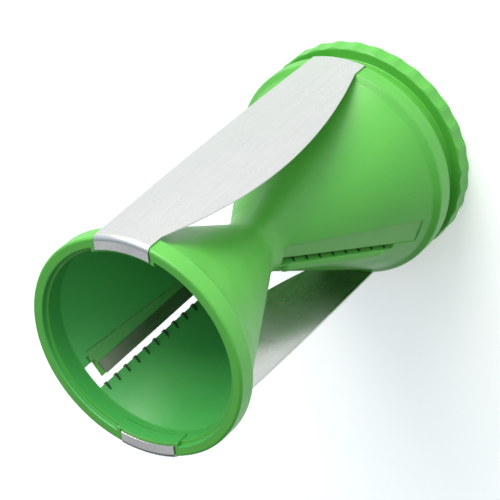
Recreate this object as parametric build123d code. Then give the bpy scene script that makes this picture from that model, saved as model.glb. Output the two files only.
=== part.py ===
"""Double-funnel mandoline: a hand-held spiral slicer with two steel bands and a food-holder cap.

Frame: millimetres, +Z up. The cap is the foot, its flat rim face on Z = 0, and the axis of both
funnels is Z. The steel bands lie over +X and -X. Each funnel is drawn with its waist at the
origin and its mouth upwards; the lower one is then turned over about X.
"""
from dataclasses import dataclass
from math import atan, cos, degrees, radians, sin, sqrt
import os

from build123d import *

# Funnels, shared sizes
waist_radius = 8.9          # outside, at the joint between the funnels
cone_inset = 1.3            # the straight cone would meet the waist plane this far inside it
waist_fillet = 12.0         # concave sweep from the waist into the cone
waist_land = 0.01           # straight start of the sweep, so that the funnels meet squarely
waist_wall = 2.7            # round the open core hole through the waist
wall = 2.3                  # funnel wall, square to the cone
collar_width = 5.6          # raised band round each mouth
collar_step = 1.6           # how far the collar stands out past the end of the cone
rim_width = 3.1             # flat face of the rim
bore_width = 4.0            # collar outside to the cylinder inside the mouth
mouth_step = 1.5            # depth of the shallow step inside the mouth
spigot_wall = 1.2           # push fit between the funnels
spigot_length = 2.4
edge_round = 0.8            # rounding of the collar and rim edges

# Blade, its holder and the slot, measured from the tangent line on the inside of the cone
blade_proud = 0.35          # the cutting edge stands this far inside the cone
blade_tilt = 6.0            # degrees, the back of the blade leans in by this much
blade_thickness = 0.4
blade_edge = 1.0            # cutting edge, sideways from the tangent line
blade_width = 3.7
bevel_width = 1.2           # ground edge
blade_start = 8.0           # height of its inner end above the waist
blade_stop = 1.0            # its outer end, below the outer end of the slot
holder_turn = 10.2          # degrees, from the blade's line to the one that the flat face is square to
holder_start = 2.6
holder_to_mouth = 9.7
holder_half = 4.3           # sideways from the holder's line to its rear edge
holder_floor = 2.6          # depth of the pocket under the holder's line
holder_skin = 1.35          # holder's face over the inside of the cone, at the waist
holder_flare = 0.0125       # the face leans out by this much more than the cone
holder_back = 0.3           # the holder stops this far behind the cutting edge
holder_gap = 0.15           # fine gap along the rear edge
lip_offset = 0.8            # far side of the slot, on the other side of the tangent line
window_to_mouth = 7.1       # open window beyond the end of the blade, in the open mouth
window_width = 6.1
slit_width = 1.8            # thin slit beside the window
slit_height = 0.7
window_reach = 8.0          # the cutting tool, each way through the wall
bead_radius = 2.4           # raised ridge along the far side of the slot, outside
bead_rise = 0.55
bead_offset = 2.6
bead_start = 7.0
bead_stop = 2.5             # below the outer end of the slot

# Julienne comb
tooth_thickness = 0.45
tooth_front = 0.5           # sideways from the tangent line, into the slot
tooth_back = 3.0
tooth_proud = 1.4           # tip, inside the cone
tooth_root = 1.5            # depth in the wall
tooth_stop = 6.0            # no tooth lower than this above the waist
tooth_slant = 0.5           # the cutting tip leans back by this much
tooth_heel = 0.2            # back corner of a tooth, inside the cone
spine_thickness = 0.5       # strip that joins the teeth inside the wall
spine_front = 1.5
spine_back = 2.7
spine_depth = 0.7
spine_end = 0.5             # past the outermost teeth

# Steel bands
band_thickness = 0.6
band_proud = 0.6            # outside of the collar
band_end_half = 8.6         # half width where it crosses a collar
band_wide_half = 15.7       # from the middle line to the curved edge at its widest
band_slim_half = 9.6        # from the middle line to the other, nearly straight edge
band_straight = 0.8         # parallel part past each collar
band_bend = 1.6             # outside radius of the fold over the rim
lip_proud = 0.3             # folded end over the rim face
lip_back = 0.4              # folded end to the bore, in the open mouth
lip_clear = 0.4             # folded end to the mouth step, in the mouth that takes the cap
notch_clear = 0.25          # sides of the band to the notch
seat_margin = 1.2           # thickened rim behind a folded end, past the sides of the band
seat_inset = 0.3            # it stands this far into the bore
seat_depth = 5.0            # from the rim face

# Food-holder cap
cap_over = 0.2              # rim of the cap past the funnel's collar
rim_height = 5.0
flutes = 32
flute_depth = 0.45
flute_land = 0.7            # ridge left between two flutes
cap_gap = 6.2               # open gap between the rim and the funnel's mouth
neck_clear = 0.2            # neck in the mouth step
plug_clear = 0.3            # plug in the bore
plug_depth = 5.0            # plug above the neck's seat
plug_wall = 2.0
web_thickness = 2.0
foot_width = 2.4            # flat ring that the cap stands on
cover_thickness = 1.6
cover_clear = 0.2
carrier_thickness = 2.4
carrier_ledge = 1.6
carrier_clear = 0.1
carrier_height = 8.0        # underside of the spike carrier
boss_radius = 5.0
boss_height = 2.6
prongs = 6
prong_circle = 10.0
prong_radius = 1.0
prong_top = 24.0
prong_boss_radius = 2.6
prong_boss_height = 2.0
prong_floor = 0.6
tip_length = 4.0
tip_radius = 0.15           # small flat at the point
disc_round = 0.3            # rounding of the flat discs
boss_round = 0.5
spike_radius = 1.65
spike_clear = 0.05          # turning fit in the carrier
spike_head_radius = 3.4
spike_head = 1.5
spike_play = 0.1
spike_top = 36.0
washer_thickness = 0.8

# Cutting tools reach past everything
far = 120.0

cone_offset = waist_radius - cone_inset
throat_radius = waist_radius - waist_wall
spigot_radius = throat_radius + spigot_wall


@dataclass(frozen=True)
class Funnel:
    """The sizes in which the two funnels differ."""

    length: float
    collar_radius: float
    tooth_pitch: float
    blade_azimuth: float        # degrees, the line that the blade lies along
    slot_to_mouth: float        # outer end of the slot
    tooth_to_mouth: float       # outermost tooth of the comb
    has_window: bool

    @property
    def shoulder(self):
        return self.length - collar_width - collar_step

    @property
    def slope(self):
        return (self.collar_radius - collar_step - cone_offset) / self.shoulder

    @property
    def stretch(self):
        return sqrt(1 + self.slope ** 2)

    @property
    def inner_offset(self):
        return cone_offset - wall * self.stretch

    @property
    def holder_azimuth(self):
        return self.blade_azimuth - holder_turn

    @property
    def bore_radius(self):
        return self.collar_radius - bore_width

    @property
    def mouth_radius(self):
        return self.collar_radius - rim_width


upper = Funnel(
    length=57.4,
    collar_radius=33.0,
    tooth_pitch=3.35,
    blade_azimuth=136.2,
    slot_to_mouth=holder_to_mouth,
    tooth_to_mouth=8.9,
    has_window=True,
)
lower = Funnel(
    length=55.1,
    collar_radius=33.9,
    tooth_pitch=4.1,
    blade_azimuth=123.7,
    slot_to_mouth=16.5,
    tooth_to_mouth=17.4,
    has_window=False,
)

waist_height = rim_height + cap_gap + lower.length
lower_mouth = rim_height + cap_gap
upper_mouth = waist_height + upper.length
seat_height = lower_mouth + mouth_step
upper_lip = upper.bore_radius + lip_back
lower_lip = lower.mouth_radius + lip_clear
cap_radius = lower.collar_radius + cap_over
neck_radius = lower.mouth_radius - neck_clear
plug_radius = lower.bore_radius - plug_clear
plug_top = seat_height + plug_depth
plug_bore = plug_radius - plug_wall
boss_top = carrier_height + carrier_thickness + boss_height
foot_inner = cap_radius - foot_width


def turned(points):
    """Turn a closed outline of (radius, height, corner rounding) about Z."""
    outline = make_face(Polyline([(r, z) for r, z, _ in points], close=True))
    for r, z, rounding in points:
        if rounding:
            corner = outline.vertices().sort_by_distance(Vector(r, z, 0))[0]
            outline = fillet(corner, rounding)
    return revolve(Plane.XZ * outline, Axis.Z)


def line_plane(azimuth, offset, slope):
    """A plane on a line of a cone: x along the line, z square to it and outwards."""
    a = radians(azimuth)
    along = Vector(slope * cos(a), slope * sin(a), 1)
    out = Vector(cos(a), sin(a), -slope)
    return Plane(origin=(offset * cos(a), offset * sin(a), 0), x_dir=along, z_dir=out)


def block(plane, x, y, z):
    """A box between two limits along each axis of a plane."""
    centre = Pos((x[0] + x[1]) / 2, (y[0] + y[1]) / 2, (z[0] + z[1]) / 2)
    return plane * centre * Box(x[1] - x[0], y[1] - y[0], z[1] - z[0])


def slab(bottom, top):
    """Everything near the axis between two heights."""
    return block(Plane.XY, (-far, far), (-far, far), (bottom, top))


def blade_plane(f):
    return line_plane(f.blade_azimuth, f.inner_offset, f.slope)


def holder_plane(f):
    return line_plane(f.holder_azimuth, f.inner_offset, f.slope)


def funnel_blank(f):
    """The turned funnel: waist, cone, collar and stepped mouth."""
    angle = atan(f.slope)
    edge = Line((waist_radius, 0), (waist_radius, waist_land))
    sweep = JernArc((waist_radius, waist_land), (0, 1), waist_fillet, -degrees(angle))
    shoulder_r = sweep.position_at(1).X + f.slope * (f.shoulder - sweep.position_at(1).Y)
    collar_back = f.length - collar_width
    cone_inner = (f.bore_radius - f.inner_offset) / f.slope
    rest = Polyline(
        sweep.position_at(1),
        (shoulder_r, f.shoulder),
        (f.collar_radius, collar_back),
        (f.collar_radius, f.length),
        (f.mouth_radius, f.length),
        (f.mouth_radius, f.length - mouth_step),
        (f.bore_radius, f.length - mouth_step),
        (f.bore_radius, cone_inner),
        (throat_radius, (throat_radius - f.inner_offset) / f.slope),
        (throat_radius, 0),
        (waist_radius, 0),
    )
    outline = make_face([edge, sweep, rest])
    rounded = [
        (shoulder_r, f.shoulder, 2 * edge_round),
        (f.collar_radius, collar_back, edge_round),
        (f.collar_radius, f.length, edge_round),
        (f.mouth_radius, f.length, edge_round / 2),
        (f.bore_radius, cone_inner, 2 * edge_round),
    ]
    for r, z, rounding in rounded:
        corner = outline.vertices().sort_by_distance(Vector(r, z, 0))[0]
        outline = fillet(corner, rounding)
    return revolve(Plane.XZ * outline, Axis.Z)


def lip_bead(f):
    """Raised ridge outside, along the far side of the slot."""
    x0 = bead_start * f.stretch
    x1 = (f.length - f.slot_to_mouth - bead_stop) * f.stretch
    centre = wall + bead_rise - bead_radius
    foot = JernArc((0, x0 - bead_radius), (1, 0), bead_radius, 90)
    side = Line((bead_radius, x0), (bead_radius, x1))
    head = JernArc((bead_radius, x1), (0, 1), bead_radius, 90)
    middle = Line((0, x1 + bead_radius), (0, x0 - bead_radius))
    rod = revolve(Plane.XZ * make_face([foot, side, head, middle]), Axis.Z)
    rod = blade_plane(f) * Pos(0, -bead_offset, centre) * Rot(0, 90, 0) * rod
    return rod & block(blade_plane(f), (-far, far), (-far, far), (wall / 2, far))


def opening(f):
    """Everything cut through the wall: room for the blade holder, the slot and the window."""
    reach = (-far, far)
    slot = block(blade_plane(f), reach, (-lip_offset, far), reach)
    slot = slot & slab(holder_start, f.length - f.slot_to_mouth)
    room = block(blade_plane(f), reach, (blade_edge + holder_back, far), reach)
    room = room & slab(holder_start, f.length - holder_to_mouth)
    before_rear = block(holder_plane(f), reach, (-far, holder_half), (-holder_floor, far))
    cut = (slot + room) & before_rear
    if f.has_window:
        cut = cut + window(f)
    return cut


def window(f):
    """Open end of the slot past the blade, with the thin slit beside it."""
    reach = (0, far)
    depth = (-window_reach, window_reach)
    foot = block(blade_plane(f), reach, (-lip_offset, window_width), depth)
    foot = foot & slab(f.length - holder_to_mouth - blade_stop, f.length - window_to_mouth)
    slit = block(blade_plane(f), reach, (window_width / 2, window_width + slit_width), depth)
    slit_bottom = f.length - holder_to_mouth
    return foot + (slit & slab(slit_bottom, slit_bottom + slit_height))


def blade(f):
    """Flat blade with a ground edge, along the tangent line."""
    section = Polyline(
        (0, 0),
        (bevel_width, blade_thickness),
        (blade_width, blade_thickness),
        (blade_width, 0),
        close=True,
    )
    edge = blade_plane(f) * Pos(0, blade_edge, -blade_proud) * Rot(-blade_tilt, 0, 0)
    line = Plane(edge)
    start = Plane(origin=line.origin, x_dir=line.y_dir, z_dir=line.x_dir)
    bar = extrude(start * make_face(section), far)
    return bar & slab(blade_start, f.length - f.slot_to_mouth - blade_stop)


def blade_holder(f, blank):
    """Insert with a flat outer face that carries the blade."""
    body = blank & opening(f)
    flat = line_plane(f.holder_azimuth, f.inner_offset + holder_skin, f.slope + holder_flare)
    reach = (-far, far)
    body = body - block(flat, reach, reach, (0, far))
    front = blade_edge + holder_back
    body = body - block(blade_plane(f), reach, (-far, front), reach)
    body = body - block(holder_plane(f), reach, (holder_half - holder_gap, far), reach)
    body = body - slab(f.length - holder_to_mouth, f.length)
    if f.has_window:
        body = body - window(f)
    return body - blade(f)


def comb(f):
    """Julienne teeth on one strip, moulded into the far side of the slot."""
    line = blade_plane(f)
    outline = Polyline(
        (-tooth_front, tooth_root),
        (-tooth_front, tooth_slant - tooth_proud),
        (-tooth_front - tooth_slant, -tooth_proud),
        (-tooth_back, -tooth_heel),
        (-tooth_back, tooth_root),
        close=True,
    )
    tooth = extrude(make_face(outline), tooth_thickness / 2, both=True)
    tops = []
    height = f.length - f.tooth_to_mouth
    while height > tooth_stop:
        tops.append(height)
        height -= f.tooth_pitch
    teeth = [
        Plane(origin=line.from_local_coords((z * f.stretch, 0, 0)), x_dir=line.y_dir, z_dir=line.x_dir)
        * tooth
        for z in tops
    ]
    ends = (tops[-1] * f.stretch - spine_end, tops[0] * f.stretch + spine_end)
    depth = (spine_depth, spine_depth + spine_thickness)
    strip = block(line, ends, (-spine_back, -spine_front), depth)
    return strip + teeth


def band_outline(margin):
    """Leaf outline of the band over +X, seen along X in the (Y, Z) plane, grown by a margin."""
    straight_top = upper_mouth - collar_width - band_straight
    straight_bottom = lower_mouth + collar_width + band_straight
    end = band_end_half + margin
    middle = (straight_top + straight_bottom) / 2
    slim = (band_slim_half + margin, middle)
    wide = (-band_wide_half - margin, middle)
    right = ThreePointArc((end, straight_bottom), slim, (end, straight_top))
    left = ThreePointArc((-end, straight_bottom), wide, (-end, straight_top))
    above, below = upper_mouth + far, lower_mouth - far
    top = Polyline((end, straight_top), (end, above), (-end, above), (-end, straight_top))
    bottom = Polyline((end, straight_bottom), (end, below), (-end, below), (-end, straight_bottom))
    return make_face([right, left, top, bottom])


def band_prism(margin):
    """The leaf outline pushed out along +X."""
    return extrude(Plane.YZ * band_outline(margin), far)


def band_ring():
    """One folded section of the bands, turned right round the axis."""
    r_top = upper.collar_radius + band_proud
    r_bottom = lower.collar_radius + band_proud
    top = upper_mouth + lip_proud
    bottom = lower_mouth - lip_proud
    t = band_thickness
    inner_bend = band_bend - t
    return turned([
        (upper_lip, top, 0),
        (r_top, top, band_bend),
        (r_bottom, bottom, band_bend),
        (lower_lip, bottom, 0),
        (lower_lip, bottom + t, 0),
        (r_bottom - t, bottom + t, inner_bend),
        (r_top - t, top - t, inner_bend),
        (upper_lip, top - t, 0),
    ])


def band_room():
    """Everything outside the inner face of the bands, for the notches in the collars."""
    t = band_thickness
    r_top = upper.collar_radius + band_proud - t
    r_bottom = lower.collar_radius + band_proud - t
    top = upper_mouth + lip_proud - t
    bottom = lower_mouth - lip_proud + t
    inner_bend = band_bend - t
    inside = upper.bore_radius - wall
    return turned([
        (inside, upper_mouth + wall, 0),
        (far, upper_mouth + wall, 0),
        (far, lower_mouth - wall, 0),
        (lower.bore_radius, lower_mouth - wall, 0),
        (lower.bore_radius, bottom, 0),
        (r_bottom, bottom, inner_bend),
        (r_top, top, inner_bend),
        (inside, top, 0),
    ])


def band_seats():
    """Thickened rim inside the open mouth, behind the folded ends of the bands."""
    inner = upper.bore_radius - seat_inset
    outer = upper.mouth_radius + edge_round
    ring = turned([
        (upper.bore_radius, upper_mouth - seat_depth, 0),
        (inner, upper_mouth - seat_depth + 2 * seat_inset, seat_inset),
        (inner, upper_mouth, edge_round / 2),
        (outer, upper_mouth, 0),
        (outer, upper_mouth - seat_depth, 0),
    ])
    return both_sides(ring & band_prism(seat_margin))


def both_sides(shape):
    """The shape over +X and its half-turn copy over -X."""
    return [shape, shape.rotate(Axis.Z, 180)]


def funnel_parts(f, place, spigot):
    """Funnel, holder, blade and comb, moved to their place by a function."""
    teeth = comb(f)
    blank = funnel_blank(f)
    shell = blank + lip_bead(f) - opening(f) - teeth
    joint = Pos(0, 0, -spigot_length / 2)
    if spigot:
        ring = Cylinder(spigot_radius, spigot_length) - Cylinder(throat_radius, spigot_length)
        shell = shell + joint * ring
    else:
        shell = shell - Pos(0, 0, spigot_length / 2) * Cylinder(spigot_radius, spigot_length)
    parts = {
        "funnel": shell,
        "blade_holder": blade_holder(f, blank),
        "blade": blade(f),
        "julienne_comb": teeth,
    }
    return {name: place(part) for name, part in parts.items()}


def place_upper(part):
    return Pos(0, 0, waist_height) * part


def place_lower(part):
    return Pos(0, 0, waist_height) * part.rotate(Axis.X, 180)


def cap_shell():
    """Fluted rim, web, neck and plug of the food holder."""
    body = turned([
        (cap_radius, 0, edge_round / 2),
        (cap_radius, rim_height, edge_round),
        (neck_radius, rim_height, edge_round / 2),
        (neck_radius, seat_height, 0),
        (plug_radius, seat_height, 0),
        (plug_radius, plug_top, edge_round),
        (plug_bore, plug_top, edge_round / 2),
        (plug_bore, carrier_height, 0),
        (plug_bore - carrier_ledge, carrier_height, 0),
        (plug_bore - carrier_ledge, rim_height - web_thickness, 0),
        (foot_inner, rim_height - web_thickness, 0),
        (foot_inner, 0, edge_round / 2),
    ])
    spacing = radians(360 / flutes)
    half_chord = (cap_radius * spacing - flute_land) / 2
    cutter = (half_chord ** 2 + flute_depth ** 2) / (2 * flute_depth)
    centre = cap_radius - flute_depth + cutter
    tool = Pos(centre, 0, rim_height / 2) * Cylinder(cutter, 2 * rim_height)
    return body - [tool.rotate(Axis.Z, 360 / flutes * (i + 0.5)) for i in range(flutes)]


def cap_cover():
    """Disc that closes the underside of the cap."""
    top = rim_height - web_thickness
    bottom = top - cover_thickness
    radius = foot_inner - cover_clear
    return turned([(0, bottom, 0), (radius, bottom, disc_round), (radius, top, 0), (0, top, 0)])


def spike_carrier():
    """Disc inside the plug with a boss for the spike and one for each prong."""
    low, high = carrier_height, carrier_height + carrier_thickness
    radius = plug_bore - carrier_clear
    disc = turned([
        (spike_radius + spike_clear, low, 0),
        (radius, low, 0),
        (radius, high, disc_round),
        (boss_radius, high, boss_round),
        (boss_radius, boss_top, boss_round),
        (spike_radius + spike_clear, boss_top, 0),
    ])
    boss = Cylinder(prong_boss_radius, prong_boss_height)
    disc = disc + prong_places(boss, high + prong_boss_height / 2)
    return disc - prong_set()


def prong_places(shape, height):
    """Copies of a shape round the prong circle."""
    one = Pos(prong_circle, 0, height) * shape
    return [one.rotate(Axis.Z, 360 / prongs * i) for i in range(prongs)]


def pin(radius, length):
    """A pin with a pointed end, standing on its base."""
    return turned([
        (0, 0, 0),
        (radius, 0, 0),
        (radius, length - tip_length, 0),
        (tip_radius, length, 0),
        (0, length, 0),
    ])


def prong_set():
    base = carrier_height + prong_floor
    return prong_places(pin(prong_radius, prong_top - base), base)


def centre_spike():
    """Centre pin with its head under the carrier."""
    head_top = carrier_height - spike_play
    head_bottom = head_top - spike_head
    shaft = Pos(0, 0, head_bottom) * pin(spike_radius, spike_top - head_bottom)
    head = Pos(0, 0, head_bottom + spike_head / 2) * Cylinder(spike_head_radius, spike_head)
    return shaft + head


def spike_washer():
    """Push-on washer that keeps the spike in the carrier."""
    low = boss_top + spike_play
    ring = Cylinder(spike_head_radius, washer_thickness) - Cylinder(spike_radius, washer_thickness)
    return Pos(0, 0, low + washer_thickness / 2) * ring


def build():
    """Every node by name."""
    nodes = {}
    ring, room = band_ring(), band_room()
    bands = both_sides(ring & band_prism(0))
    notches = both_sides(room & band_prism(notch_clear))
    for name, f, place, spigot in (
        ("upper", upper, place_upper, True),
        ("lower", lower, place_lower, False),
    ):
        for part_name, part in funnel_parts(f, place, spigot).items():
            nodes[f"{name}_{part_name}"] = part
        if name == "upper":
            nodes["upper_funnel"] = nodes["upper_funnel"] + band_seats()
        nodes[f"{name}_funnel"] = nodes[f"{name}_funnel"] - notches
    nodes["steel_band_right"], nodes["steel_band_left"] = bands
    nodes["cap_shell"] = cap_shell()
    nodes["cap_cover"] = cap_cover()
    nodes["spike_carrier"] = spike_carrier()
    for number, prong in enumerate(prong_set(), 1):
        nodes[f"prong_{number}"] = prong
    nodes["centre_spike"] = centre_spike()
    nodes["spike_washer"] = spike_washer()
    return nodes


os.makedirs("parts", exist_ok=True)
for node, shape in build().items():
    export_step(shape, f"parts/{node}.step")
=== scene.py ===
"""Studio model of a double-funnel spiral slicer with two steel bands and a food-holder cap.

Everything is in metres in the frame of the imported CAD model: the cap is the foot, the axis of
both funnels is Z, and the two steel bands lie over +X and -X.
"""
import logging
from dataclasses import dataclass, field
from enum import Enum
from math import cos, radians, sin

import bpy
import numpy as np
from mathutils import Matrix, Vector


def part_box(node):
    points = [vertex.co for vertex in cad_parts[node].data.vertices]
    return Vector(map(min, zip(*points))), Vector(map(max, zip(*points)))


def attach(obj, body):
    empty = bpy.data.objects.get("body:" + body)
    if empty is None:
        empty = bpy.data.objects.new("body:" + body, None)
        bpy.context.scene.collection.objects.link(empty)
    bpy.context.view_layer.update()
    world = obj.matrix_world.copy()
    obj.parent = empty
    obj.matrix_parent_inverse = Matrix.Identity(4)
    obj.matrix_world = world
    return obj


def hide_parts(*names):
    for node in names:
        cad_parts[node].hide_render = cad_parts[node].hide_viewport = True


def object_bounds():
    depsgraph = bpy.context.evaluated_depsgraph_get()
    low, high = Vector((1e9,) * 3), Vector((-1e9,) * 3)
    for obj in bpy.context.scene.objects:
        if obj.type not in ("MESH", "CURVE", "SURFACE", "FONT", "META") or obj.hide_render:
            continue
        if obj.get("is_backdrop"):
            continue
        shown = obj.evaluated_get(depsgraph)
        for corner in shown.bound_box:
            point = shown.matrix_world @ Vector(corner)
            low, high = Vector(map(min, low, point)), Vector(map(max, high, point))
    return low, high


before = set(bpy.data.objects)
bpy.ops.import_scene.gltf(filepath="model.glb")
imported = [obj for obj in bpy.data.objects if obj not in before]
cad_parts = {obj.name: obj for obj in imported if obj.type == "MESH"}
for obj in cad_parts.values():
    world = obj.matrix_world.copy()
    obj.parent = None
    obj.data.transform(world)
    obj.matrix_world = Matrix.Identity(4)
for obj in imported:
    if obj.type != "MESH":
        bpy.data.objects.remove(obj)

LOG = logging.getLogger("slicer")
MM = 0.001
MIDDLE = (0.35, 0.65)       # the part of a noise's range that a pattern uses
FULL = (0.0, 1.0)

Colour = tuple[float, float, float, float]


class Body(Enum):
    """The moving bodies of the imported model."""

    CAP = "cap"
    SPIKE = "spike"
    SLICER = "slicer"


class Pattern(Enum):
    """Where a finish takes its pattern's coordinates from."""

    OBJECT = "Object"
    SHEET = "UV"


# ------------------------------------------------------------------ surfaces


@dataclass
class Skin:
    """A surface sampled on a grid.

    Attributes:
        points: array of shape (rows, columns, 3), in metres.
        sheet: array of shape (rows, columns, 2), the flat position of each point, in metres.
    """

    points: np.ndarray
    sheet: np.ndarray

    def quads(self) -> np.ndarray:
        """Corner numbers of each face: a grid cell's four corners, anticlockwise from outside."""
        rows, columns = self.points.shape[:2]
        ids = np.arange(rows * columns).reshape(rows, columns)
        cell = [ids[:-1, :-1], ids[:-1, 1:], ids[1:, 1:], ids[1:, :-1]]
        return np.stack(cell, axis=-1).reshape(-1, 4)

    def to_object(self, name: str) -> bpy.types.Object:
        """Make a smooth-shaded object at the origin from the grid.

        Args:
            name: name of the object and of its mesh.

        Returns:
            The new object, linked to the scene.
        """
        mesh = bpy.data.meshes.new(name)
        mesh.from_pydata(self.points.reshape(-1, 3).tolist(), [], self.quads().tolist())
        corners = np.empty(len(mesh.loops), dtype=np.int32)
        mesh.loops.foreach_get("vertex_index", corners)
        layer = mesh.uv_layers.new(name="sheet")
        layer.data.foreach_set("uv", self.sheet.reshape(-1, 2)[corners].astype(np.float32).ravel())
        mesh.polygons.foreach_set("use_smooth", np.ones(len(mesh.polygons), dtype=bool))
        mesh.validate()
        mesh.update()
        made = bpy.data.objects.new(name, mesh)
        bpy.context.scene.collection.objects.link(made)
        return made


def corner_arc(before: np.ndarray, corner: np.ndarray, after: np.ndarray, radius: float,
               steps: int) -> np.ndarray:
    """Round one corner of a flat path.

    The arc touches both legs at the same distance from the corner, radius times the tangent of
    half the turn, and its centre lies on the legs' bisector.

    Args:
        before: point ahead of the corner.
        corner: the sharp corner.
        after: point past the corner.
        radius: radius of the arc.
        steps: number of points on the arc.

    Returns:
        Array of shape (steps, 2).
    """
    into = (corner - before) / np.linalg.norm(corner - before)
    out = (after - corner) / np.linalg.norm(after - corner)
    turn = np.arccos(np.clip(into @ out, -1.0, 1.0))
    side = np.sign(into[0] * out[1] - into[1] * out[0])
    start = corner - into * radius * np.tan(turn / 2)
    square = np.array([-into[1], into[0]]) * side
    angle = np.linspace(0.0, turn, steps)[:, None]
    return start + into * radius * np.sin(angle) + square * radius * (1 - np.cos(angle))


# ------------------------------------------------------------------ shader tools


class Bench:
    """Places nodes in one node tree and joins their sockets."""

    def __init__(self, tree: bpy.types.NodeTree) -> None:
        """Work on a node tree, emptied first."""
        self.tree = tree
        tree.nodes.clear()

    def put(self, kind: str, **settings: object) -> bpy.types.Node:
        """Add a node and set its plain properties.

        Args:
            kind: Blender's identifier of the node.
            settings: properties of the node by name.

        Returns:
            The new node.
        """
        node = self.tree.nodes.new(kind)
        for name, value in settings.items():
            setattr(node, name, value)
        return node

    def feed(self, node: bpy.types.Node, **inputs: object) -> bpy.types.Node:
        """Link or set a node's inputs.

        Args:
            node: the node.
            inputs: socket or value by input name, with _ for a space.

        Returns:
            The same node.
        """
        for name, value in inputs.items():
            socket = node.inputs[name.replace("_", " ")]
            if isinstance(value, bpy.types.NodeSocket):
                self.tree.links.new(value, socket)
            else:
                socket.default_value = value
        return node

    def math(self, operation: str, first: object, second: object = 0.5,
             clamp: bool = False) -> bpy.types.NodeSocket:
        """Add a Math node on two sockets or numbers and return its output."""
        node = self.put("ShaderNodeMath", operation=operation, use_clamp=clamp)
        for socket, value in zip(node.inputs, (first, second)):
            if isinstance(value, bpy.types.NodeSocket):
                self.tree.links.new(value, socket)
            else:
                socket.default_value = value
        return node.outputs[0]

    def shares(self, first: bpy.types.NodeSocket, share: float,
               second: bpy.types.NodeSocket) -> bpy.types.NodeSocket:
        """Add two values, the first times its share and the second times the rest of one."""
        return self.math("ADD", self.math("MULTIPLY", first, share),
                         self.math("MULTIPLY", second, 1.0 - share))

    def plus(self, value: bpy.types.NodeSocket, factor: float,
             base: bpy.types.NodeSocket) -> bpy.types.NodeSocket:
        """Add a value times a factor to a base value."""
        total = self.math("MULTIPLY_ADD", value, factor)
        self.tree.links.new(base, total.node.inputs[2])
        return total

    def noise(self, vector: bpy.types.NodeSocket, scale: float, detail: float = 3.0,
              roughness: float = 0.55) -> bpy.types.NodeSocket:
        """Add a Noise Texture and return its value, about 0.5 on average."""
        node = self.put("ShaderNodeTexNoise")
        self.feed(node, Vector=vector, Scale=scale, Detail=detail, Roughness=roughness)
        return node.outputs["Fac"]

    def stretch(self, vector: bpy.types.NodeSocket, scale: Vector) -> bpy.types.NodeSocket:
        """Scale a coordinate separately along its three axes."""
        node = self.put("ShaderNodeMapping")
        self.feed(node, Vector=vector)
        node.inputs["Scale"].default_value = scale
        return node.outputs["Vector"]

    def turned(self, vector: bpy.types.NodeSocket, along: Vector) -> bpy.types.NodeSocket:
        """Turn a coordinate so that its Y runs in a given direction."""
        node = self.put("ShaderNodeMapping", vector_type="TEXTURE")
        self.feed(node, Vector=vector)
        node.inputs["Rotation"].default_value = along.to_track_quat("Y", "Z").to_euler()
        return node.outputs["Vector"]

    def span(self, value: bpy.types.NodeSocket, source: tuple[float, float],
             target: tuple[float, float]) -> bpy.types.NodeSocket:
        """Map one range of values to another, clamped at both ends."""
        node = self.put("ShaderNodeMapRange", clamp=True)
        self.feed(node, Value=value, From_Min=source[0], From_Max=source[1],
                  To_Min=target[0], To_Max=target[1])
        return node.outputs["Result"]

    def blend(self, factor: object, first: object, second: object) -> bpy.types.NodeSocket:
        """Mix two colours by a factor and return the colour."""
        node = self.put("ShaderNodeMix", data_type="RGBA")
        for index, value in ((0, factor), (6, first), (7, second)):
            socket = node.inputs[index]
            if isinstance(value, bpy.types.NodeSocket):
                self.tree.links.new(value, socket)
            else:
                socket.default_value = value
        return node.outputs[2]


class Effect(Enum):
    """The shared shader effects, each a node group built once."""

    EDGE_WEAR = "edge wear"
    MOULD_SKIN = "mould skin"
    ROLLED_SHEET = "rolled sheet"
    HANDLING = "handling marks"
    # painted shade: darkens the side of a turned moulding that faces its axis
    INNER_SHADE_PAINT = "core side"


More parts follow.
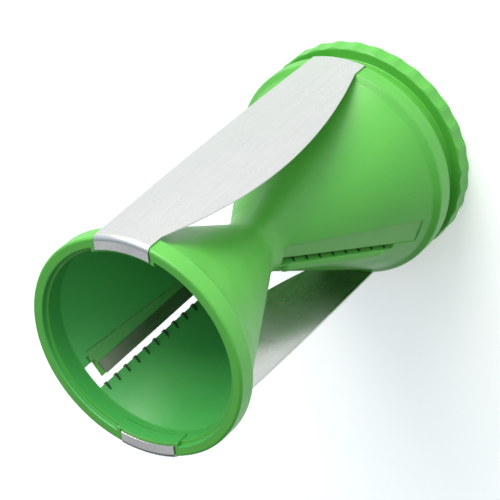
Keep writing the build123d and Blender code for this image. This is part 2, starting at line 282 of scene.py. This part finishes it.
@dataclass
class EffectShelf:
    """Builds each shared node group the first time it is asked for."""

    made: dict[Effect, bpy.types.NodeTree] = field(default_factory=dict)

    def get(self, effect: Effect) -> bpy.types.NodeTree:
        """Return the node group of an effect."""
        if effect not in self.made:
            build = {
                Effect.EDGE_WEAR: self._edge_wear,
                Effect.MOULD_SKIN: self._mould_skin,
                Effect.ROLLED_SHEET: self._rolled_sheet,
                Effect.HANDLING: self._handling,
                Effect.INNER_SHADE_PAINT: self._inner_side_painted_shade,
            }[effect]
            self.made[effect] = build(effect.value)
        return self.made[effect]

    @staticmethod
    def _open(name: str, inputs: dict[str, tuple[str, float]],
              outputs: dict[str, str]) -> tuple[Bench, bpy.types.Node, bpy.types.Node]:
        """Make an empty group.

        Args:
            name: name of the group.
            inputs: kind and default of each input by name.
            outputs: kind of each output by name.

        Returns:
            The bench, the group's input node and its output node.
        """
        tree = bpy.data.node_groups.new(name, "ShaderNodeTree")
        for label, (kind, default) in inputs.items():
            socket = tree.interface.new_socket(name=label, in_out="INPUT", socket_type=kind)
            if kind == "NodeSocketFloat":
                socket.default_value = default
        for label, kind in outputs.items():
            tree.interface.new_socket(name=label, in_out="OUTPUT", socket_type=kind)
        bench = Bench(tree)
        return bench, bench.put("NodeGroupInput"), bench.put("NodeGroupOutput")

    def _edge_wear(self, name: str) -> bpy.types.NodeTree:
        """Rounded edges and a worn mask.

        The mask is one minus the cosine between the true normal and the normal averaged over a
        small radius, broken up by noise.
        """
        bench, start, end = self._open(
            name,
            {"Vector": ("NodeSocketVector", 0.0), "Radius": ("NodeSocketFloat", 0.0003),
             "Wear": ("NodeSocketFloat", 1.0)},
            {"Mask": "NodeSocketFloat", "Normal": "NodeSocketVector"},
        )
        rounded = bench.put("ShaderNodeBevel", samples=6)
        bench.feed(rounded, Radius=start.outputs["Radius"])
        true = bench.put("ShaderNodeNewGeometry")
        dot = bench.put("ShaderNodeVectorMath", operation="DOT_PRODUCT")
        bench.tree.links.new(rounded.outputs["Normal"], dot.inputs[0])
        bench.tree.links.new(true.outputs["Normal"], dot.inputs[1])
        edge = bench.span(dot.outputs["Value"], (0.995, 0.86), (0.0, 1.0))
        chips = bench.span(bench.noise(start.outputs["Vector"], 900.0, 4.0), (0.38, 0.62), (0.25, 1.0))
        mask = bench.math("MULTIPLY", bench.math("MULTIPLY", edge, chips), start.outputs["Wear"], True)
        bench.tree.links.new(mask, end.inputs["Mask"])
        bench.tree.links.new(rounded.outputs["Normal"], end.inputs["Normal"])
        return bench.tree

    def _mould_skin(self, name: str) -> bpy.types.NodeTree:
        """Fine spark-eroded skin of a moulding with broad flow marks."""
        bench, start, end = self._open(
            name,
            {"Vector": ("NodeSocketVector", 0.0), "Fineness": ("NodeSocketFloat", 1.0)},
            {"Tone": "NodeSocketFloat", "Gloss": "NodeSocketFloat", "Height": "NodeSocketFloat"},
        )
        sized = bench.put("ShaderNodeVectorMath", operation="SCALE")
        bench.tree.links.new(start.outputs["Vector"], sized.inputs[0])
        bench.tree.links.new(start.outputs["Fineness"], sized.inputs["Scale"])
        place = sized.outputs["Vector"]
        flow = bench.noise(bench.stretch(place, Vector((1.0, 1.0, 0.35))), 55.0, 2.0)
        cloud = bench.noise(place, 170.0, 3.0)
        grain = bench.noise(place, 3800.0, 2.0)
        pits = bench.noise(place, 1500.0, 4.0, 0.6)
        tone = bench.shares(flow, 0.65, cloud)
        gloss = bench.shares(cloud, 0.6, pits)
        height = bench.shares(grain, 0.45, pits)
        bench.tree.links.new(tone, end.inputs["Tone"])
        bench.tree.links.new(gloss, end.inputs["Gloss"])
        bench.tree.links.new(height, end.inputs["Height"])
        return bench.tree

    def _rolled_sheet(self, name: str) -> bpy.types.NodeTree:
        """Lines of rolled or brushed steel.

        The coordinate is stretched, so the noise is fine across the rolling direction and long
        along it, its third and second axis.
        """
        bench, start, end = self._open(
            name,
            {"Vector": ("NodeSocketVector", 0.0)},
            {"Tone": "NodeSocketFloat", "Gloss": "NodeSocketFloat", "Height": "NodeSocketFloat"},
        )
        place = start.outputs["Vector"]
        fine = bench.noise(bench.stretch(place, Vector((6000.0, 90.0, 90.0))), 1.0, 3.0)
        broad = bench.noise(bench.stretch(place, Vector((900.0, 16.0, 16.0))), 1.0, 2.0)
        cloud = bench.noise(place, 90.0, 2.0)
        tone = bench.shares(broad, 0.6, fine)
        gloss = bench.shares(fine, 0.5, cloud)
        bench.tree.links.new(tone, end.inputs["Tone"])
        bench.tree.links.new(gloss, end.inputs["Gloss"])
        bench.tree.links.new(fine, end.inputs["Height"])
        return bench.tree

    def _handling(self, name: str) -> bpy.types.NodeTree:
        """Thin scratches in two directions and soft smudges from fingers."""
        bench, start, end = self._open(
            name,
            {"Vector": ("NodeSocketVector", 0.0)},
            {"Scratches": "NodeSocketFloat", "Smudges": "NodeSocketFloat"},
        )
        place = start.outputs["Vector"]
        lines = []
        for turn, scale in ((0.5, 420.0), (-0.9, 560.0)):
            tilt = bench.put("ShaderNodeMapping")
            bench.feed(tilt, Vector=place)
            tilt.inputs["Rotation"].default_value = (turn, 0.3 * turn, turn)
            tilt.inputs["Scale"].default_value = (1.0, 0.05, 1.0)
            line = bench.noise(tilt.outputs["Vector"], scale, 1.0)
            lines.append(bench.span(line, (0.70, 0.76), (0.0, 1.0)))
        scratches = bench.math("MAXIMUM", lines[0], lines[1])
        smudge = bench.span(bench.noise(place, 120.0, 5.0, 0.65), (0.45, 0.7), (0.0, 1.0))
        bench.tree.links.new(scratches, end.inputs["Scratches"])
        bench.tree.links.new(smudge, end.inputs["Smudges"])
        return bench.tree

    def _inner_side_painted_shade(self, name: str) -> bpy.types.NodeTree:
        """A painted shade: mask of the side of a turned moulding that faces its axis, the side that
        lies in shade inside the funnels.

        The mask rises from 0 to 1 as the normal turns inwards: it is read from the dot product of
        the piece's own normal and the direction away from the Z axis.
        """
        bench, _, end = self._open(name, {}, {"Mask": "NodeSocketFloat"})
        texture = bench.put("ShaderNodeTexCoord")
        away = bench.put("ShaderNodeVectorMath", operation="NORMALIZE")
        bench.tree.links.new(bench.stretch(texture.outputs["Object"], Vector((1.0, 1.0, 0.0))),
                             away.inputs[0])
        dot = bench.put("ShaderNodeVectorMath", operation="DOT_PRODUCT")
        bench.tree.links.new(away.outputs["Vector"], dot.inputs[0])
        bench.tree.links.new(texture.outputs["Normal"], dot.inputs[1])
        bench.tree.links.new(bench.span(dot.outputs["Value"], (0.0, -0.4), (0.0, 1.0)),
                             end.inputs["Mask"])
        return bench.tree


SHELF = EffectShelf()


# ------------------------------------------------------------------ finishes


@dataclass(frozen=True)
class MouldedPlastic:
    """Injection-moulded plastic with a satin skin.

    Attributes:
        name: name of the material.
        colour: main colour, linear.
        shade: colour of the deeper flow marks, linear.
        rubbed: colour of worn edges, linear.
        painted_inner_shade: darker, cooler colour of the inner side, a painted shade of the funnels'
            interior, linear.
        gloss: lowest and highest roughness.
        skin: strength of the skin's relief.
        fineness: how much finer the skin is than on the funnels.
        edge: radius of the rounded edges, in metres.
    """

    name: str
    colour: Colour
    shade: Colour
    rubbed: Colour
    painted_inner_shade: Colour
    gloss: tuple[float, float] = (0.34, 0.46)
    skin: float = 0.10
    fineness: float = 1.0
    edge: float = 0.00025

    def make(self) -> bpy.types.Material:
        """Build the material."""
        material = bpy.data.materials.new(self.name)
        material.use_nodes = True
        bench = Bench(material.node_tree)
        place = bench.put("ShaderNodeTexCoord").outputs["Object"]
        skin = bench.put("ShaderNodeGroup", node_tree=SHELF.get(Effect.MOULD_SKIN))
        bench.feed(skin, Vector=place, Fineness=self.fineness)
        wear = bench.put("ShaderNodeGroup", node_tree=SHELF.get(Effect.EDGE_WEAR))
        bench.feed(wear, Vector=place, Radius=self.edge, Wear=0.55)
        marks = bench.put("ShaderNodeGroup", node_tree=SHELF.get(Effect.HANDLING))
        bench.feed(marks, Vector=place)
        outer = bench.blend(bench.span(skin.outputs["Tone"], MIDDLE, FULL),
                            self.shade, self.colour)
        # Painted shade: the side facing the axis is mixed towards a darker, cooler green, as if in the
        # shade inside the funnel.
        inner_shade_mask = bench.put("ShaderNodeGroup", node_tree=SHELF.get(Effect.INNER_SHADE_PAINT))
        body = bench.blend(inner_shade_mask.outputs["Mask"], outer, self.painted_inner_shade)
        colour = bench.blend(wear.outputs["Mask"], body, self.rubbed)
        base = bench.span(skin.outputs["Gloss"], MIDDLE, self.gloss)
        smudged = bench.plus(marks.outputs["Smudges"], 0.05, base)
        rough = bench.plus(marks.outputs["Scratches"], 0.08, smudged)
        relief = bench.put("ShaderNodeBump")
        bench.feed(relief, Strength=self.skin, Distance=0.00006, Height=skin.outputs["Height"],
                   Normal=wear.outputs["Normal"])
        shader = bench.put("ShaderNodeBsdfPrincipled")
        bench.feed(shader, Base_Color=colour, Roughness=rough, Normal=relief.outputs["Normal"],
                   IOR=1.55)
        out = bench.put("ShaderNodeOutputMaterial")
        bench.tree.links.new(shader.outputs["BSDF"], out.inputs["Surface"])
        return material


@dataclass(frozen=True)
class SheetSteel:
    """Rolled, ground or drawn stainless steel.

    Attributes:
        name: name of the material.
        colour: bright colour, linear.
        shade: colour between the bright lines, linear.
        gloss: lowest and highest roughness.
        lines: strength of the lines' relief.
        pattern: where the lines' coordinate comes from.
        edge: radius of the rounded edges, in metres.
        along: direction of the lines on a piece without a sheet layout, or None for Y.
    """

    name: str
    colour: Colour
    shade: Colour
    gloss: tuple[float, float] = (0.24, 0.40)
    lines: float = 0.10
    pattern: Pattern = Pattern.OBJECT
    edge: float = 0.0001
    along: tuple[float, float, float] | None = None

    def make(self) -> bpy.types.Material:
        """Build the material."""
        material = bpy.data.materials.new(self.name)
        material.use_nodes = True
        bench = Bench(material.node_tree)
        texture = bench.put("ShaderNodeTexCoord")
        place = texture.outputs["Object"]
        rolled = bench.put("ShaderNodeGroup", node_tree=SHELF.get(Effect.ROLLED_SHEET))
        lines = texture.outputs[self.pattern.value]
        if self.along is not None:
            lines = bench.turned(lines, Vector(self.along))
        bench.feed(rolled, Vector=lines)
        wear = bench.put("ShaderNodeGroup", node_tree=SHELF.get(Effect.EDGE_WEAR))
        bench.feed(wear, Vector=place, Radius=self.edge, Wear=0.4)
        marks = bench.put("ShaderNodeGroup", node_tree=SHELF.get(Effect.HANDLING))
        bench.feed(marks, Vector=place)
        body = bench.blend(bench.span(rolled.outputs["Tone"], MIDDLE, FULL),
                           self.shade, self.colour)
        colour = bench.blend(wear.outputs["Mask"], body, self.colour)
        base = bench.span(rolled.outputs["Gloss"], MIDDLE, self.gloss)
        smudged = bench.plus(marks.outputs["Smudges"], 0.05, base)
        rough = bench.plus(marks.outputs["Scratches"], 0.10, smudged)
        relief = bench.put("ShaderNodeBump")
        bench.feed(relief, Strength=self.lines, Distance=0.00002, Height=rolled.outputs["Height"],
                   Normal=wear.outputs["Normal"])
        shader = bench.put("ShaderNodeBsdfPrincipled")
        bench.feed(shader, Base_Color=colour, Roughness=rough, Metallic=1.0,
                   Normal=relief.outputs["Normal"])
        out = bench.put("ShaderNodeOutputMaterial")
        bench.tree.links.new(shader.outputs["BSDF"], out.inputs["Surface"])
        return material


@dataclass
class Finishes:
    """Every finish of the slicer, made once."""

    funnel: bpy.types.Material
    holder: bpy.types.Material
    band: bpy.types.Material
    comb: bpy.types.Material
    pin: bpy.types.Material

    @classmethod
    def make(cls) -> "Finishes":
        """Make all the materials."""
        return cls(
            funnel=MouldedPlastic(
                "leaf green plastic", (0.082, 0.380, 0.040, 1), (0.070, 0.348, 0.036, 1),
                # the fourth colour is a painted shade for the inner side
                (0.16, 0.50, 0.14, 1), (0.054, 0.335, 0.066, 1)).make(),
            holder=MouldedPlastic(
                "grey green plastic", (0.128, 0.410, 0.074, 1), (0.108, 0.370, 0.064, 1),
                # the fourth colour is a painted shade for the inner side
                (0.20, 0.50, 0.15, 1), (0.070, 0.300, 0.060, 1),
                gloss=(0.40, 0.52), skin=0.16, fineness=1.3).make(),
            band=SheetSteel(
                "rolled band steel", (0.62, 0.61, 0.61, 1), (0.58, 0.57, 0.57, 1),
                gloss=(0.24, 0.32), lines=0.03, pattern=Pattern.SHEET).make(),
            # Near-black comb steel: a dark steel, darkened further as a painted shade of the slot the
            # teeth sit in.
            comb=SheetSteel(
                "stamped comb steel with painted slot shade", (0.16, 0.17, 0.15, 1), (0.10, 0.11, 0.09, 1),
                gloss=(0.38, 0.55), edge=0.00005).make(),
            pin=SheetSteel(
                "drawn pin steel", (0.68, 0.68, 0.67, 1), (0.55, 0.55, 0.54, 1),
                gloss=(0.16, 0.28)).make(),
        )


# ------------------------------------------------------------------ sub-assemblies


def dress_node(node: str, material: bpy.types.Material) -> None:
    """Put a material on every slot of a CAD node's object.

    Args:
        node: name of the CAD node.
        material: the finish.
    """
    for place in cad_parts[node].material_slots:
        place.material = material
    LOG.info("dressed %s with %s", node, material.name)


@dataclass
class SteelBands:
    """The two steel bands that hold the funnels together, folded over both rims.

    Attributes:
        thickness: thickness of the sheet, in metres, as all the sizes are.
        proud: outer face past the collar.
        end_half: half width where the band crosses a collar.
        wide_half: middle line to the curved edge at its widest.
        slim_half: middle line to the nearly straight edge at its widest.
        collar: height at each end over which the width is constant.
        bend: outside radius of the fold over the rim.
        upper_lip: collar to the folded end, in the open mouth.
        lower_lip: collar to the folded end, in the mouth that takes the cap.
        edge: rounding of the sheet's edges.
        pieces: the finished bands.
    """

    thickness: float = 0.6 * MM
    proud: float = 0.6 * MM
    end_half: float = 8.6 * MM
    wide_half: float = 15.7 * MM
    slim_half: float = 9.6 * MM
    collar: float = 6.7 * MM
    bend: float = 1.6 * MM
    upper_lip: float = 3.6 * MM
    lower_lip: float = 2.7 * MM
    edge: float = 0.14 * MM
    pieces: list[bpy.types.Object] = field(default_factory=list)

    def path(self) -> np.ndarray:
        """Work out the radius and height along the middle of the band's outer face.

        The path runs out over the upper rim, round a bend, down a straight line between the
        collars, round a second bend and in under the lower rim.

        Returns:
            Array of shape (n, 2).
        """
        low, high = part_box("steel_band_right")
        upper_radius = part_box("upper_funnel")[1].y
        lower_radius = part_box("lower_funnel")[1].y
        corners = np.array([
            (upper_radius - self.upper_lip, high.z),
            (upper_radius + self.proud, high.z),
            (lower_radius + self.proud, low.z),
            (lower_radius - self.lower_lip, low.z),
        ])
        first = corner_arc(corners[0], corners[1], corners[2], self.bend, 14)
        second = corner_arc(corners[1], corners[2], corners[3], self.bend, 14)
        top, bottom = high.z - self.collar, low.z + self.collar
        heights = np.concatenate([
            np.linspace(first[-1, 1], top, 7)[1:-1],
            np.linspace(top, bottom, 131),
            np.linspace(bottom, second[0, 1], 7)[1:-1],
        ])
        share = (first[-1, 1] - heights) / (first[-1, 1] - second[0, 1])
        side = np.stack([first[-1, 0] + (second[0, 0] - first[-1, 0]) * share, heights], axis=1)
        lips = [np.linspace(corners[0], first[0], 8)[:-1], np.linspace(second[-1], corners[3], 8)[1:]]
        return np.concatenate([lips[0], first, side, second, lips[1]])

    def edge_line(self, heights: np.ndarray, middle_half: float) -> np.ndarray:
        """Distance of one edge from the middle line.

        It is constant over the collars, and between them it is an arc of a circle through the
        place in the middle where the band is widest.

        Args:
            heights: height of each place along the band.
            middle_half: the distance in the middle.

        Returns:
            The distance at each place.
        """
        low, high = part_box("steel_band_right")
        top, bottom = high.z - self.collar, low.z + self.collar
        reach, rise = (top - bottom) / 2, middle_half - self.end_half
        radius = (reach ** 2 + rise ** 2) / (2 * rise)
        offset = np.clip(heights - (top + bottom) / 2, -reach, reach)
        return middle_half - radius + np.sqrt(radius ** 2 - offset ** 2)

    def skin(self) -> Skin:
        """Outer face of the band over +X.

        A point is t times the edge's distance off the middle line, measured sideways, with the
        slim edge at t = 1 and the wide one at t = -1. It lies on the cylinder round Z with the
        path's radius: x is the root of radius squared less y squared.
        """
        path = self.path()
        across = np.linspace(1.0, -1.0, 45)
        slim = self.edge_line(path[:, 1], self.slim_half)[:, None]
        wide = self.edge_line(path[:, 1], self.wide_half)[:, None]
        y = np.where(across > 0, slim, wide) * across
        x = np.sqrt(path[:, :1] ** 2 - y ** 2)
        z = np.broadcast_to(path[:, 1:], y.shape)
        run = np.concatenate([[0.0], np.cumsum(np.linalg.norm(np.diff(path, axis=0), axis=1))])
        sheet = np.stack([y, np.broadcast_to(run[:, None], y.shape)], axis=-1)
        return Skin(np.stack([x, y, z], axis=-1), sheet)

    def build(self) -> None:
        """Make both bands, the second by a half turn about Z."""
        for name, sign in (("steel_band_right", 1.0), ("steel_band_left", -1.0)):
            skin = self.skin()
            skin.points = skin.points * np.array([sign, sign, 1.0])
            band = skin.to_object(f"{name}_sheet")
            wall = band.modifiers.new("sheet thickness", "SOLIDIFY")
            wall.thickness, wall.offset, wall.use_even_offset = self.thickness, -1.0, True
            soft = band.modifiers.new("broken edges", "BEVEL")
            soft.width, soft.segments, soft.limit_method = self.edge, 3, "ANGLE"
            soft.angle_limit, soft.harden_normals = radians(55), True
            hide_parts(name)
            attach(band, Body.SLICER.value)
            self.pieces.append(band)
            LOG.info("built %s", band.name)

    def dress(self, finishes: Finishes) -> None:
        """Give both bands the rolled steel."""
        for band in self.pieces:
            band.data.materials.append(finishes.band)


@dataclass
class FunnelSet:
    """One funnel with its blade holder, blade and julienne comb."""

    name: str

    def blade_line(self) -> Vector:
        """Direction of the blade: its corners' first principal axis, the longest spread."""
        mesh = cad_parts[f"{self.name}_blade"].data
        corners = np.empty(len(mesh.vertices) * 3)
        mesh.vertices.foreach_get("co", corners)
        corners = corners.reshape(-1, 3)
        _, _, axes = np.linalg.svd(corners - corners.mean(axis=0))
        return Vector(axes[0])

    def dress(self, finishes: Finishes) -> None:
        """Dress the four CAD nodes of this end, the blade with lines ground along it."""
        # The blade's dull olive colour is partly the steel's own dullness and partly a painted
        # reflection of the green funnel around it.
        ground = SheetSteel(
            f"ground {self.name} blade steel", (0.31, 0.32, 0.24, 1), (0.26, 0.27, 0.20, 1),
            gloss=(0.24, 0.34), edge=0.00005, along=tuple(self.blade_line()))
        dress_node(f"{self.name}_funnel", finishes.funnel)
        dress_node(f"{self.name}_blade_holder", finishes.holder)
        dress_node(f"{self.name}_blade", ground.make())
        dress_node(f"{self.name}_julienne_comb", finishes.comb)


@dataclass
class HolderCap:
    """The food-holder cap with its prongs and centre spike.

    Attributes:
        prongs: number of prongs on the carrier.
    """

    prongs: int = 6

    def dress(self, finishes: Finishes) -> None:
        """Dress the CAD nodes of the cap."""
        dress_node("cap_shell", finishes.funnel)
        dress_node("cap_cover", finishes.funnel)
        dress_node("spike_carrier", finishes.holder)
        for number in range(1, self.prongs + 1):
            dress_node(f"prong_{number}", finishes.pin)
        dress_node("centre_spike", finishes.pin)
        dress_node("spike_washer", finishes.pin)


# ------------------------------------------------------------------ studio


@dataclass(frozen=True)
class Softbox:
    """One square area light that looks at the object.

    Attributes:
        name: name of the light.
        place: where it hangs, in metres.
        side: its side, in metres.
        power: its power, in watts.
        tint: its colour, linear.
    """

    name: str
    place: tuple[float, float, float]
    side: float
    power: float
    tint: tuple[float, float, float]

    def build(self, target: Vector) -> None:
        """Hang the light and turn it to the target."""
        lamp = bpy.data.lights.new(self.name, "AREA")
        lamp.energy, lamp.size, lamp.color = self.power, self.side, self.tint
        hung = bpy.data.objects.new(self.name, lamp)
        hung.location = self.place
        hung.rotation_euler = (target - hung.location).to_track_quat("-Z", "Y").to_euler()
        bpy.context.scene.collection.objects.link(hung)


@dataclass(frozen=True)
class Studio:
    """Pale floor, soft lights and the camera.

    Attributes:
        azimuth: camera's turn round Z, in degrees; 0 looks along +Y.
        elevation: camera's height above the horizon, in degrees.
        distance: camera to aim, in metres.
        roll: camera's turn about its own line of sight, in degrees.
        aim_height: height that the camera looks at, in metres.
        side_step: camera and aim moved to the camera's right, in metres.
        lens: focal length, in millimetres on a 36 mm sensor.
        floor_half: half the side of the floor, in metres.
    """

    azimuth: float = 44.5
    elevation: float = 45.5
    distance: float = 0.671
    roll: float = -131.23
    aim_height: float = 0.0674
    side_step: float = 0.00045
    lens: float = 173.4
    floor_half: float = 3.0

    def camera(self) -> None:
        """Place the camera: its sideways and up axes are turned by the roll about its sight line."""
        a, e, r = radians(self.azimuth), radians(self.elevation), radians(self.roll)
        back = Vector((sin(a) * cos(e), -cos(a) * cos(e), sin(e)))
        level = Vector((0, 0, 1)).cross(back).normalized()
        upright = back.cross(level)
        right = level * cos(r) + upright * sin(r)
        up = upright * cos(r) - level * sin(r)
        data = bpy.data.cameras.new("camera")
        data.lens, data.sensor_width = self.lens, 36.0
        data.clip_start, data.clip_end = 0.01, 20.0
        camera = bpy.data.objects.new("camera", data)
        turn = Matrix((right, up, back)).transposed().to_4x4()
        aim = Vector((0, 0, self.aim_height)) + right * self.side_step
        camera.matrix_world = Matrix.Translation(aim + back * self.distance) @ turn
        bpy.context.scene.collection.objects.link(camera)
        bpy.context.scene.camera = camera

    def floor(self) -> None:
        """Lay a flat pale sheet at the height of the cap's foot."""
        line = np.linspace(-self.floor_half, self.floor_half, 9)
        x, y = np.meshgrid(line, line)
        low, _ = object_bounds()
        points = np.stack([x, y, np.full_like(x, low.z)], axis=-1)
        floor = Skin(points, points[..., :2]).to_object("floor")
        material = bpy.data.materials.new("white paper")
        material.use_nodes = True
        bench = Bench(material.node_tree)
        place = bench.put("ShaderNodeTexCoord").outputs["Object"]
        tone = bench.span(bench.noise(place, 7.0, 3.0), (0.3, 0.7), (0.0, 1.0))
        shader = bench.put("ShaderNodeBsdfPrincipled")
        bench.feed(shader, Base_Color=bench.blend(tone, (0.93, 0.93, 0.93, 1), (0.95, 0.95, 0.95, 1)),
                   Roughness=0.9, Emission_Color=(1.0, 0.96, 0.91, 1.0), Emission_Strength=0.31)
        out = bench.put("ShaderNodeOutputMaterial")
        bench.tree.links.new(shader.outputs["BSDF"], out.inputs["Surface"])
        floor.data.materials.append(material)
        floor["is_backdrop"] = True

    def lights(self) -> None:
        """Hang the softboxes and light the sky, which is brighter towards +X.

        The camera sees an even pale sky, and the object is lit by the uneven one.
        """
        target = Vector((0, 0, self.aim_height))
        for box in (
            Softbox("key", (1.06, 0.12, 0.42), 0.70, 12.3, (1.0, 0.965, 0.86)),
            Softbox("low edge", (0.95, 0.30, 0.14), 0.45, 1.5, (1.0, 1.0, 0.98)),
            Softbox("lip card", (-0.52, 0.53, 0.82), 0.35, 0.3, (1.0, 1.0, 1.0)),
            Softbox("fill", (0.45, -1.10, 0.80), 0.70, 1.2, (1.0, 1.0, 1.0)),
        ):
            box.build(target)
        world = bpy.data.worlds.new("studio")
        world.use_nodes = True
        bpy.context.scene.world = world
        bench = Bench(world.node_tree)
        side = bench.put("ShaderNodeSeparateXYZ")
        bench.feed(side, Vector=bench.put("ShaderNodeTexCoord").outputs["Generated"])
        glow = bench.span(side.outputs["X"], (-0.6, 1.0), (0.12, 1.45))
        seen = bench.put("ShaderNodeLightPath").outputs["Is Camera Ray"]
        colour = bench.blend(seen, (0.80, 0.93, 1.0, 1.0), (0.93, 0.93, 0.93, 1.0))
        sky = bench.put("ShaderNodeBackground")
        bench.feed(sky, Color=colour, Strength=bench.math("MAXIMUM", glow, seen))
        out = bench.put("ShaderNodeOutputWorld")
        bench.tree.links.new(sky.outputs["Background"], out.inputs["Surface"])
        bpy.context.scene.view_settings.view_transform = "Standard"

    def build(self) -> None:
        """Set the whole studio up."""
        self.floor()
        self.lights()
        self.camera()


def main() -> None:
    """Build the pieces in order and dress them."""
    logging.basicConfig(level=logging.INFO, format="%(name)s: %(message)s")
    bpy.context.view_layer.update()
    finishes = Finishes.make()
    bands = SteelBands()
    bands.build()
    bands.dress(finishes)
    for name in ("upper", "lower"):
        FunnelSet(name).dress(finishes)
    HolderCap().dress(finishes)
    Studio().build()


if __name__ == "__main__":
    main()
